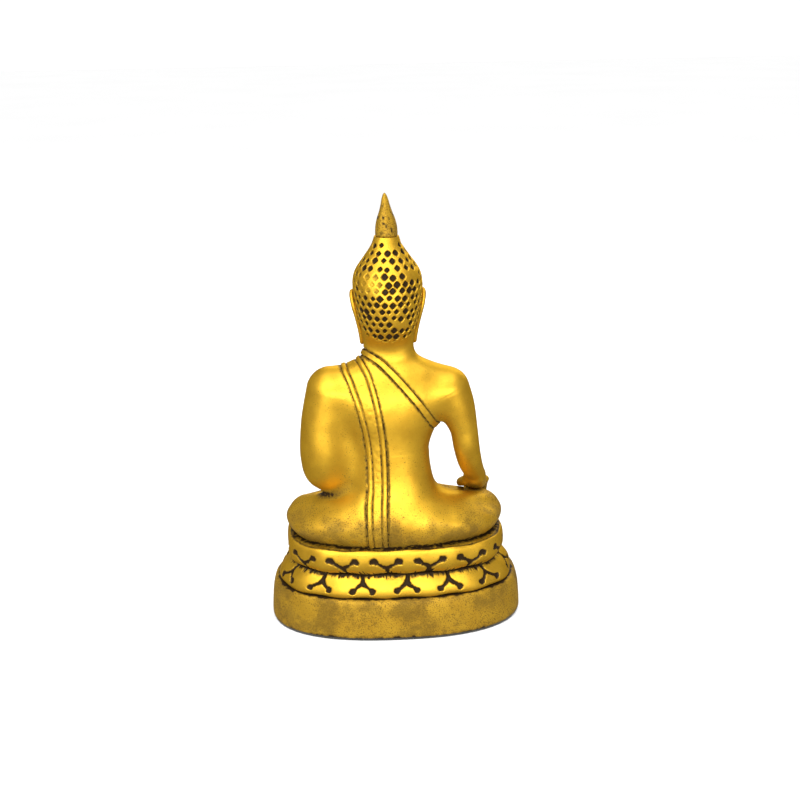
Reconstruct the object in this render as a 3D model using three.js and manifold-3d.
// A gilded resin statue of a seated Buddha in the earth-touching pose, on a two-tier lotus throne.
// Millimetres, +Z up. The origin is the centre of the footprint, on the floor. The figure faces -Y,
// and its own left side is +X.
//
// The statue is a sectional casting. Plinth and lotus tiers are stacked on one tie rod, which clamps
// them to the legs. Torso, both arms, the left forearm with its hand, head, hair cap and finial are
// dowelled to each other, and the shoulder sash and the robe's hem are strips laid into the robe.
import * as THREE from "three";
import { mergeVertices } from "three/addons/utils/BufferGeometryUtils.js";
import Module from "manifold-3d";

const wasm = await Module();
wasm.setup();

// ---- Driving dimensions ----
const STATUE_HEIGHT = 200;
const CLEARANCE = 0.3; // glue gap between castings that meet on a curved face
const FIT = 0.2; // radial clearance of rods and pins in their holes
const UPPER_BODY_X = 1.6; // the upper body sits this far to the figure's left of the throne's centre
const HEAD_Y = 10.8; // centre of the skull and of the finial, seen from above

const FELT_TOP = 1.2;
const PLATE_TOP = 4.2;
const CAVITY_TOP = 13; // ceiling of the hollow under the plinth
const PLINTH_TOP = 20;
const LOWER_TIER_TOP = 31;
const SEAT_Z = 44; // top of the upper lotus tier
const WAIST_Z = 67.5; // joint between hips and torso
const ARMPIT_Z = 89.5; // above it the right arm grows out of the torso
const NECK_Z = 137; // joint between neck and head
const FINIAL_Z = 182; // joint between hair cap and flame finial
const RIGHT_SHOULDER_X = -20; // joint between torso and right arm
const LEFT_SHOULDER_X = 21; // joint of the left upper arm with torso and with forearm
const BELLY_Y = -5.5; // the left forearm lies in front of this plane
const TIE_ROD_Y = 10;
const HAIRLINE_FRONT = { y: -5, z: 161 }; // where the hairline crosses the forehead
const HAIRLINE_NAPE = { y: 25, z: 134 }; // where it crosses the nape

const SASH_PROUD = 0.9; // how far sash and hem stand out of the robe
const REBATE_DEPTH = 0.9; // how far they are let into it
const PETALS = 14; // petals round each lotus tier
const PETAL_RELIEF = 0.9;
// How square each oval plan is: 2 is an ellipse, more is a rounder-cornered box.
const SQUARENESS = { plinth: 2.4, lowerTier: 2.55, upperTier: 2.9, lap: 2.7, skull: 2.15 };

// ---- Solids ----

/** A closed three.js geometry as a manifold-3d solid. */
function solid(geometry) {
  const bare = new THREE.BufferGeometry();
  bare.setAttribute("position", geometry.getAttribute("position"));
  bare.setIndex(geometry.getIndex());
  const merged = mergeVertices(bare, 1e-4);
  return new wasm.Manifold(
    new wasm.Mesh({
      numProp: 3,
      vertProperties: merged.attributes.position.array,
      triVerts: new Uint32Array(merged.index.array),
    }),
  );
}

/** A manifold-3d solid as a three.js geometry. */
function geometryOf(manifold) {
  const mesh = manifold.getMesh();
  const geometry = new THREE.BufferGeometry();
  geometry.setAttribute("position", new THREE.BufferAttribute(mesh.vertProperties, 3));
  geometry.setIndex(new THREE.BufferAttribute(mesh.triVerts, 1));
  geometry.computeVertexNormals();
  return geometry;
}

/** Joins rings of equally many points into a closed skin, with a fan over each end. */
function skin(rings) {
  const count = rings[0].length;
  const points = rings.flat();
  const index = [];
  for (let r = 0; r + 1 < rings.length; r++) {
    for (let i = 0; i < count; i++) {
      const a = r * count + i;
      const b = r * count + ((i + 1) % count);
      index.push(a, b, b + count, a, b + count, a + count);
    }
  }
  for (const [first, flip] of [[0, true], [(rings.length - 1) * count, false]]) {
    const ring = points.slice(first, first + count);
    const centre = ring.reduce((sum, p) => sum.add(p), new THREE.Vector3()).divideScalar(count);
    points.push(centre);
    for (let i = 0; i < count; i++) {
      const a = first + i;
      const b = first + ((i + 1) % count);
      index.push(...(flip ? [b, a, points.length - 1] : [a, b, points.length - 1]));
    }
  }
  return new THREE.BufferGeometry().setFromPoints(points).setIndex(index);
}

/** Catmull-Rom value of a column of numbers at t, from 0 to rows - 1. */
function smooth(values, t) {
  const i = Math.min(values.length - 2, Math.floor(t));
  const at = (k) => values[Math.max(0, Math.min(values.length - 1, k))];
  const [a, b, c, d] = [at(i - 1), at(i), at(i + 1), at(i + 2)];
  const f = t - i;
  return b + 0.5 * f * (c - a + f * (2 * a - 5 * b + 4 * c - d + f * (3 * (b - c) + d - a)));
}

/** A horizontal ring: half width w, reaching from y = front to y = back, with optional petal bulges. */
function ring([z, w, back, front], { x = 0, power, count, grow = 0, petals = 0, relief = 0 }) {
  const squeeze = (v) => Math.sign(v) * Math.abs(v) ** (2 / power);
  const middle = (back + front) / 2;
  const reach = (back - front) / 2;
  return Array.from({ length: count }, (_, i) => {
    const angle = (2 * Math.PI * i) / count;
    const valley = petals ? 1 - Math.abs(Math.sin((petals * angle) / 2)) : 0;
    const out = grow - relief * valley ** 2;
    return new THREE.Vector3(
      x + (w + out) * squeeze(Math.cos(angle)),
      middle + (reach + out) * squeeze(Math.sin(angle)),
      z,
    );
  });
}

/** A body lofted through rows of [z, half width, back, front], smoothly between the rows. */
function loft(rows, { steps = 1, count = 28, power = 2.2, ...options } = {}) {
  const rings = [];
  for (let s = 0; s <= (rows.length - 1) * steps; s++) {
    const row = [0, 1, 2, 3].map((k) => smooth(rows.map((values) => values[k]), s / steps));
    rings.push(ring(row, { power, count, ...options }));
  }
  return skin(rings);
}

/** A limb: a round body along a smooth curve through [x, y, z, radius] rows, with rounded ends. */
function limb(rows, { steps = 2, count = 10, grow = 0 } = {}) {
  const curve = new THREE.CatmullRomCurve3(rows.map(([x, y, z]) => new THREE.Vector3(x, y, z)));
  const total = (rows.length - 1) * steps;
  const { normals, binormals, tangents } = curve.computeFrenetFrames(total, false);
  const rings = [];
  const addRing = (k, along, share) => {
    const t = k / total;
    const r = grow + smooth(rows.map((row) => row[3]), t * (rows.length - 1));
    const centre = curve.getPoint(t).addScaledVector(tangents[k], along * r);
    rings.push(Array.from({ length: count }, (_, i) => {
      const angle = (2 * Math.PI * i) / count;
      return centre.clone()
        .addScaledVector(normals[k], r * share * Math.cos(angle))
        .addScaledVector(binormals[k], r * share * Math.sin(angle));
    }));
  };
  for (const angle of [1.25, 0.65]) addRing(0, -Math.sin(angle), Math.cos(angle));
  for (let k = 0; k <= total; k++) addRing(k, 0, 1);
  for (const angle of [0.65, 1.25]) addRing(total, Math.sin(angle), Math.cos(angle));
  return solid(skin(rings));
}

/** The rows of a limb mirrored to the figure's other side. */
const mirrored = (rows) => rows.map(([x, y, z, r]) => [-x, y, z, r]);

/** All the solids joined into one. */
const joined = (...solids) => solids.reduce((a, b) => a.add(b));

/** The largest body of a solid, without the slivers that a cut leaves. */
const largest = (cut) => cut.decompose().sort((a, b) => b.volume() - a.volume())[0];

/** A box from its lowest to its highest corner. */
function block(low, high) {
  const size = high.map((v, i) => v - low[i]);
  const box = new THREE.BoxGeometry(...size);
  return solid(box.translate(...low.map((v, i) => v + size[i] / 2)));
}

/** A round rod between two points. */
function rod(from, to, radius, count = 12) {
  const a = new THREE.Vector3(...from);
  const b = new THREE.Vector3(...to);
  const cylinder = new THREE.CylinderGeometry(radius, radius, a.distanceTo(b), count);
  const turn = new THREE.Quaternion().setFromUnitVectors(
    new THREE.Vector3(0, 1, 0),
    b.clone().sub(a).normalize(),
  );
  cylinder.applyQuaternion(turn).translate(...a.add(b).multiplyScalar(0.5).toArray());
  return solid(cylinder);
}

/** A flat outline of [x, z] points, extruded along Y from y0 to y1. */
function prism(outline, y0, y1) {
  const shape = new THREE.Shape(outline.map(([x, z]) => new THREE.Vector2(x, z)));
  const slab = new THREE.ExtrudeGeometry(shape, { depth: y1 - y0, bevelEnabled: false });
  slab.rotateX(Math.PI / 2).translate(0, y1, 0);
  return solid(slab);
}

/** Evenly spread points of the smooth curve through a few [x, z] points. */
function curvePoints(edge, divisions = 10) {
  const curve = new THREE.SplineCurve(edge.map(([x, z]) => new THREE.Vector2(x, z)));
  return curve.getPoints(divisions).map((p) => [p.x, p.y]);
}

// ---- Throne: every row is an oval plan, [z, half width, back, front] ----
const drum = (rows) => solid(loft(rows, { count: 56, power: SQUARENESS.plinth }));
const lotus = (rows, power) =>
  solid(loft(rows, { count: PETALS * 6, power, petals: PETALS, relief: PETAL_RELIEF }));

const plinthRows = [
  [FELT_TOP, 59.4, 34, -34],
  [8, 58.8, 33.6, -33.6],
  [15, 58, 33, -33],
  [18.4, 57.2, 32.4, -32.4],
  [PLINTH_TOP, 55.8, 31.6, -31.6],
];
const lowerTierRows = [
  [PLINTH_TOP, 54.8, 31, -31],
  [22, 55.6, 31.6, -31.6],
  [25, 54.4, 31, -31],
  [28.4, 51.4, 29.6, -29.6],
  [LOWER_TIER_TOP, 48.8, 28, -28],
];
const upperTierRows = [
  [LOWER_TIER_TOP, 48.2, 27.8, -27.8],
  [33.6, 50.6, 30.2, -30.2],
  [37.4, 51.4, 31.2, -31.2],
  [41.4, 51, 31, -31],
  [SEAT_Z, 49.4, 30, -30],
];
const cavityRows = [[0, 52, 27, -27], [CAVITY_TOP, 50, 25.5, -25.5]];
const plateRows = [[FELT_TOP, 51.2, 26.2, -26.2], [PLATE_TOP, 51, 26, -26]];
const feltRows = [[0, 58.6, 33.2, -33.2], [FELT_TOP, 58.6, 33.2, -33.2]];

// ---- Figure: torso, head and lap are lofts, limbs are [x, y, z, radius] along a curve ----
const torsoRows = [
  [SEAT_Z, 24, 29.6, -9],
  [55, 24, 29.4, -9],
  [66, 21.6, 28.4, -7],
  [74, 19, 27, -4.6],
  [84, 17.2, 25.4, -3.4],
  [95, 19.8, 25.2, -4],
  [105, 25, 25.6, -5],
  [113, 28.4, 25, -4.6],
  [119.5, 27.6, 23, -2.4],
  [125, 22.4, 20, 1.4],
  [129.5, 14, 18.2, 3.4],
  [133, 11.4, 17.8, 3.4],
  [141, 11, 18.2, 3.4],
];
const lapRows = [
  [SEAT_Z, 46.4, 28.4, -20],
  [50, 46.4, 29, -18],
  [57, 37, 28.2, -12],
  [62, 28, 27.2, -8],
  [66, 20, 26.2, -6],
];
const headRows = [
  [134, 7.6, 17, 1],
  [137, 10.2, 19.4, -2.4],
  [142, 12.2, 22.8, -4],
  [150, 13.6, 25.6, -4.4],
  [158, 14.6, 26.6, -4.2],
  [164, 14.6, 25.8, -2.8],
  [168, 13.6, 24, -1],
  [171.4, 11.4, 21.4, 1.4],
  [174.6, 9, 19, 3],
  [178.4, 6.4, 16.8, 5],
  [FINIAL_Z, 4.8, 15.4, 6.2],
];
const flameProfile = [
  [0, 0], [4.6, 0], [4.8, 1.6], [4.5, 4.4], [3.7, 7.6], [2.7, 10.2], [1.9, 13], [1.4, 15.4], [0.7, 17.3],
  [0, STATUE_HEIGHT - FINIAL_Z],
];
const ear = { x: 14.6, y: 9.6, z: 147, halfThickness: 1.7, halfDepth: 4.6, halfHeight: 12.6, turn: 0.12 };

const thigh = [[13, 16, 55.2, 12], [28, 10.8, 53.4, 11], [40.4, 1.5, 50.8, 8.6]];
const lowerShin = [[40.2, -3, 50.2, 7.8], [24, -16.6, 49.6, 6.2], [2, -22, 48.8, 5.2], [-14, -20.6, 48.6, 4.8]];
const lowerFoot = [[-13, -20.6, 48.6, 4.8], [-25, -17.8, 48.2, 4], [-31, -15.6, 47.8, 3.2]];
const upperShin = [[-40.2, -3, 50, 7.8], [-24, -14, 50, 6.2], [-4, -16.2, 54.6, 5.6], [10, -14.2, 58.2, 4.6]];
const upperFoot = [[9, -14.4, 58.4, 4.6], [20, -12, 59.8, 4], [29, -9.4, 59.4, 3.4]];
const leftArm = [
  [27.4, 12, 114.4, 10.9],
  [30.8, 12.4, 100, 10.4],
  [31.6, 12, 84, 10.6],
  [29.8, 7.4, 75.4, 9.9],
  [23, -5.4, 74.4, 6.8],
  [13, -12.5, 73, 4.8],
];
const rightArm = [
  [-23.8, 12, 113.8, 9.9],
  [-27.4, 12.6, 106.4, 8.4],
  [-31, 13.4, 96, 6.3],
  [-32.6, 12.6, 86, 5.9],
  [-35, 7, 76, 5.4],
  [-38.4, -1.2, 67, 4.6],
];

// The right hand lies over the knee, fingers down the shin. The left lies palm up in the lap.
const rightPalm = [[-37.6, -0.8, 66.2, 5], [-39.4, -6.8, 61.8, 4.9], [-40.3, -12, 58.6, 4]];
const rightThumb = [[-34.6, -1.6, 63.6, 2.8], [-32.4, -7.6, 60.4, 2.1], [-32.2, -13, 57.4, 1.5]];
const rightFingers = [49.6, 47.6, 46.8, 48.2].map((tip, i) => {
  const x = -44.4 + 2.75 * i;
  return [[x, -11.2, 59.8, 1.8], [x, -15.6, 55.6, 1.7], [x + 0.3, -17.2, tip, 1.4]];
});
const leftPalm = [[15, -12.2, 72.6, 3.9], [8, -15.4, 70.4, 4], [1.6, -16.8, 69.2, 3.8]];
const leftThumb = [[9.5, -12.6, 72.2, 1.9], [4, -11.6, 73.2, 1.7], [-1.6, -12.6, 72.9, 1.4]];
const leftFingers = [-11.4, -13.6, -14, -12.4].map((tip, i) => {
  const y = -20.6 + 2.6 * i;
  return [[3, y + 0.8, 69.8, 1.7], [-5, y, 68.8, 1.6], [tip, y - 0.2, 69.2, 1.2]];
});

// Strips of the robe, seen from behind: two edges of [x, z] from the left shoulder down.
const sashBack = [
  [[14.3, 133], [10.9, 124.2], [8.8, 114], [6.6, 96], [5.7, 80], [5.6, 57], [4.8, SEAT_Z + CLEARANCE]],
  [[21.6, 133], [18.8, 124.2], [15, 112.3], [12.2, 99], [11.4, 83], [11.7, 64], [12.2, SEAT_Z + CLEARANCE]],
];
const sashFront = [
  [[14.3, 133], [12.4, 124], [10, 112], [7.6, 98], [6, 85]],
  [[21.6, 133], [20, 124], [17.8, 112], [15.6, 98], [14.4, 85]],
];
const hemBack = [
  [[13, 134.6], [3, 128.8], [-4.6, 121.4], [-12, 112], [-19, 101.6]],
  [[13, 131.2], [4.6, 125.6], [-2.2, 119.2], [-9.4, 110], [-16, 100]],
];
const hemFront = [
  [[13, 131], [4, 121.4], [-5, 112.6], [-13, 105.4], [-19, 101.4]],
  [[13, 127.4], [5.4, 118.8], [-3.4, 110], [-11.4, 102.8], [-17.4, 98.6]],
];

/** The torso's skin between two depths, grown outwards and sunk inwards. */
function torsoShell(outwards, inwards) {
  return torso(outwards).subtract(torso(-inwards));
}

/** A solid spread in X and Z by a clearance, as the union of copies shifted to every side. */
function spread(body, by) {
  const steps = [-by, 0, by];
  return joined(...steps.flatMap((dx) => steps.map((dz) => body.translate([dx, 0, dz]))));
}

/** The prism through a strip of robe, on the figure's back or front half. */
function stripPrism([low, high], side) {
  const outline = [...curvePoints(low), ...curvePoints(high).reverse()];
  return side === "back" ? prism(outline, HEAD_Y, 60) : prism(outline, -60, HEAD_Y - CLEARANCE);
}

// ---- Bodies of the figure, each also available grown by a clearance ----
const torso = (grow = 0) => solid(loft(torsoRows, { x: UPPER_BODY_X, grow }));
const rightHand = (grow = 0) =>
  joined(
    limb(rightPalm, { grow }),
    limb(rightThumb, { count: 6, grow }),
    ...rightFingers.map((rows) => limb(rows, { count: 6, grow })),
  );
const leftHand = (grow = 0) =>
  joined(
    limb(leftPalm, { grow }),
    limb(leftThumb, { count: 6, grow }),
    ...leftFingers.map((rows) => limb(rows, { count: 6, grow })),
  );
const legs = () =>
  joined(
    solid(loft(lapRows, { steps: 2, count: 28, power: SQUARENESS.lap })),
    ...[thigh, mirrored(thigh), lowerShin, upperShin, upperFoot, lowerFoot].map((rows) => limb(rows)),
  );

/** An ear, flat against the side of the head. side is +1 for the figure's left, -1 for its right. */
function earBody(side, grow = 0) {
  const ball = new THREE.SphereGeometry(1, 12, 10);
  ball.scale(ear.halfThickness + grow, ear.halfDepth + grow, ear.halfHeight + grow);
  return solid(ball.rotateZ(side * ear.turn).translate(UPPER_BODY_X + side * ear.x, ear.y, ear.z));
}

/** Everything above the slanting plane of the hairline, raised by a clearance. */
function aboveHairline(raise = 0) {
  const run = HAIRLINE_NAPE.y - HAIRLINE_FRONT.y;
  const slope = Math.atan2(HAIRLINE_NAPE.z - HAIRLINE_FRONT.z, run);
  const box = new THREE.BoxGeometry(60, 160, 100).translate(0, 0, 50 + raise);
  return solid(box.rotateX(slope).translate(0, HAIRLINE_FRONT.y, HAIRLINE_FRONT.z));
}

// ---- Rods, pins and fasteners: [from, to, radius] ----
const HARDWARE = {
  tie_rod: [[0, TIE_ROD_Y, 7], [0, TIE_ROD_Y, 96], 2],
  waist_pin: [[9, 12, 60], [9, 12, 75], 1.5],
  neck_dowel: [[UPPER_BODY_X, 10, 127], [UPPER_BODY_X, 10, 147], 2],
  right_shoulder_dowel: [[-14, 12, 113], [-26, 12, 113], 2],
  left_shoulder_dowel: [[15, 12, 108], [27, 12, 108], 2],
  elbow_pin: [[16, -7.5, 74.6], [27, -5.5, 75.4], 1.2],
  finial_pin: [[UPPER_BODY_X, HEAD_Y, 174], [UPPER_BODY_X, HEAD_Y, 188], 1.2],
  seat_pin_left: [[28, 4, 37], [28, 4, 51], 1.5],
  seat_pin_right: [[-28, 4, 37], [-28, 4, 51], 1.5],
  tier_pin_left: [[40, 0, 15], [40, 0, 37], 1.5],
  tier_pin_right: [[-40, 0, 15], [-40, 0, 37], 1.5],
};
const END_PLAY = 0.3; // room past each end of a rod in its blind hole

/** The hole for one of the rods, drilled past both its ends. */
function holeFor([from, to, radius]) {
  const along = new THREE.Vector3(...to).sub(new THREE.Vector3(...from)).normalize().multiplyScalar(END_PLAY);
  const past = (point, side) => new THREE.Vector3(...point).addScaledVector(along, side).toArray();
  return rod(past(from, -1), past(to, 1), radius + FIT);
}
const allHoles = () => joined(...Object.values(HARDWARE).map(holeFor));

const washer = { inner: 2.3, outer: 5, thickness: 0.8 };
const nut = { inner: 2.3, acrossCorners: 8.1, thickness: 3.2 };

function makeWasher() {
  const [low, high] = [CAVITY_TOP - washer.thickness, CAVITY_TOP];
  const section = [[washer.inner, low], [washer.outer, low], [washer.outer, high], [washer.inner, high]];
  const closed = [...section, section[0]].map(([r, h]) => new THREE.Vector2(r, h));
  return new THREE.LatheGeometry(closed, 24).rotateX(Math.PI / 2).translate(0, TIE_ROD_Y, 0);
}

function makeNut() {
  const corners = Array.from({ length: 6 }, (_, i) => {
    const angle = (Math.PI * i) / 3;
    return new THREE.Vector2(Math.cos(angle), Math.sin(angle)).multiplyScalar(nut.acrossCorners / 2);
  });
  const shape = new THREE.Shape(corners);
  shape.holes.push(new THREE.Path().absarc(0, 0, nut.inner, 0, 2 * Math.PI, true));
  const hex = new THREE.ExtrudeGeometry(shape, { depth: nut.thickness, bevelEnabled: false, curveSegments: 8 });
  return hex.translate(0, TIE_ROD_Y, CAVITY_TOP - washer.thickness - nut.thickness);
}

// ---- Cutting the statue at its joints ----
const [LEFT, RIGHT, FRONT, BACK, FLOOR, SKY] = [80, -80, -60, 60, -5, 250];
const below = (z) => block([RIGHT, FRONT, FLOOR], [LEFT, BACK, z]);
const above = (z) => block([RIGHT, FRONT, z], [LEFT, BACK, SKY]);

function makeThrone() {
  return {
    felt_pad: drum(feltRows),
    bottom_plate: drum(plateRows),
    plinth: drum(plinthRows).subtract(drum(cavityRows)),
    lower_lotus_tier: lotus(lowerTierRows, SQUARENESS.lowerTier),
    upper_lotus_tier: lotus(upperTierRows, SQUARENESS.upperTier),
  };
}

/** The folds of the robe that fill the space between torso and left upper arm. */
function drape() {
  const folds = new THREE.SphereGeometry(1, 16, 12).scale(9, 9.5, 24);
  return solid(folds.translate(LEFT_SHOULDER_X, 9.5, 88)).intersect(above(WAIST_Z));
}

/** Torso, arms, left hand and legs, each cut from the whole figure at its joints. */
function makeFigure() {
  const trunk = torso();
  const rightArmBody = limb(rightArm);
  const shoulders = above(ARMPIT_Z);
  const wholeRightArm = joined(rightArmBody, rightHand(), trunk.intersect(shoulders));
  const wholeLeftArm = joined(limb(leftArm), leftHand());
  const outboard = block([RIGHT, FRONT, FLOOR], [RIGHT_SHOULDER_X, BACK, SKY]);
  const leftSide = block([LEFT_SHOULDER_X, FRONT, WAIST_Z], [LEFT, BACK, SKY]);
  const lapSide = block([RIGHT, FRONT, FLOOR], [LEFT_SHOULDER_X, BELLY_Y, SKY]);
  const frontSide = block([RIGHT, FRONT, FLOOR], [LEFT_SHOULDER_X, HEAD_Y, ARMPIT_Z]);
  const leftUpperArm = limb(leftArm).subtract(frontSide);
  const upper = joined(trunk, drape(), leftUpperArm, rightArmBody.intersect(shoulders))
    .intersect(above(WAIST_Z)).intersect(below(NECK_Z));
  const lower = trunk.add(legs()).intersect(above(SEAT_Z)).intersect(below(WAIST_Z));
  const torsoBody = largest(upper.subtract(outboard).subtract(leftSide));
  return {
    crossed_legs: lower.subtract(joined(
      rightHand(CLEARANCE),
      limb(rightArm, { grow: CLEARANCE }),
      leftHand(CLEARANCE),
    )),
    torso: torsoBody,
    right_arm: largest(wholeRightArm.intersect(outboard)),
    left_arm: largest(upper.intersect(leftSide)),
    left_hand: largest(wholeLeftArm.intersect(lapSide).intersect(above(WAIST_Z - 4)).subtract(torso(CLEARANCE))),
  };
}

/** Makes the sash and the hem, and lets them into the castings that they lie on. */
function makeRobeStrips(castings) {
  const skin = torsoShell(SASH_PROUD, REBATE_DEPTH);
  const roomySkin = torsoShell(SASH_PROUD + 3, REBATE_DEPTH + CLEARANCE);
  const outlines = {
    sash_back: stripPrism(sashBack, "back"),
    sash_front: stripPrism(sashFront, "front"),
    robe_hem_back: stripPrism(hemBack, "back"),
    robe_hem_front: stripPrism(hemFront, "front"),
  };
  const strips = {};
  for (const [name, outline] of Object.entries(outlines)) {
    strips[name] = skin.intersect(outline);
    for (const casting of ["torso", "right_arm", "left_arm", "crossed_legs"]) {
      castings[casting] = castings[casting].subtract(roomySkin.intersect(spread(outline, CLEARANCE)));
    }
  }
  for (const side of ["back", "front"]) {
    const sash = spread(outlines[`sash_${side}`], CLEARANCE);
    strips[`robe_hem_${side}`] = strips[`robe_hem_${side}`].subtract(sash);
  }
  return strips;
}

function makeHead() {
  const skull = solid(loft(headRows, { x: UPPER_BODY_X, power: SQUARENESS.skull })).intersect(above(NECK_Z));
  const earSeats = earBody(1, CLEARANCE).add(earBody(-1, CLEARANCE));
  const flame = new THREE.LatheGeometry(flameProfile.map(([r, h]) => new THREE.Vector2(r, h)), 16);
  return {
    head: skull.subtract(aboveHairline(-CLEARANCE)).subtract(earSeats),
    hair_cap: skull.intersect(aboveHairline()).subtract(earSeats),
    flame_finial: solid(flame.rotateX(Math.PI / 2).translate(UPPER_BODY_X, HEAD_Y, FINIAL_Z)),
    left_ear: earBody(1),
    right_ear: earBody(-1),
  };
}

// ---- Materials ----
const gold = { color: 0xc8a032, roughness: 0.34, metalness: 0.85 };
const steel = { color: 0x8d9094, roughness: 0.35, metalness: 1 };
const board = { color: 0x6b5138, roughness: 0.9, metalness: 0 };
const felt = { color: 0x23241f, roughness: 1, metalness: 0 };

/** A named mesh with a material of its own. */
function part(name, geometry, finish) {
  const mesh = new THREE.Mesh(geometry, new THREE.MeshStandardMaterial(finish));
  mesh.name = name;
  return mesh;
}

/** The scene graph: throne and figure are drilled for every rod that passes through them. */
function assemble() {
  const holes = allHoles();
  const statue = new THREE.Group();
  const throne = new THREE.Group();
  const figure = new THREE.Group();
  const hardware = new THREE.Group();
  const special = { felt_pad: felt, bottom_plate: board };
  for (const [name, body] of Object.entries(makeThrone())) {
    throne.add(part(name, geometryOf(body.subtract(holes)), special[name] ?? gold));
  }
  const castings = makeFigure();
  Object.assign(castings, makeRobeStrips(castings), makeHead());
  for (const [name, body] of Object.entries(castings)) {
    figure.add(part(name, geometryOf(largest(body.subtract(holes))), gold));
  }
  for (const [name, [from, to, radius]] of Object.entries(HARDWARE)) {
    hardware.add(part(name, geometryOf(rod(from, to, radius)), steel));
  }
  hardware.add(part("tie_washer", makeWasher(), steel));
  hardware.add(part("tie_nut", makeNut(), steel));
  return statue.add(throne, figure, hardware);
}

export default assemble();
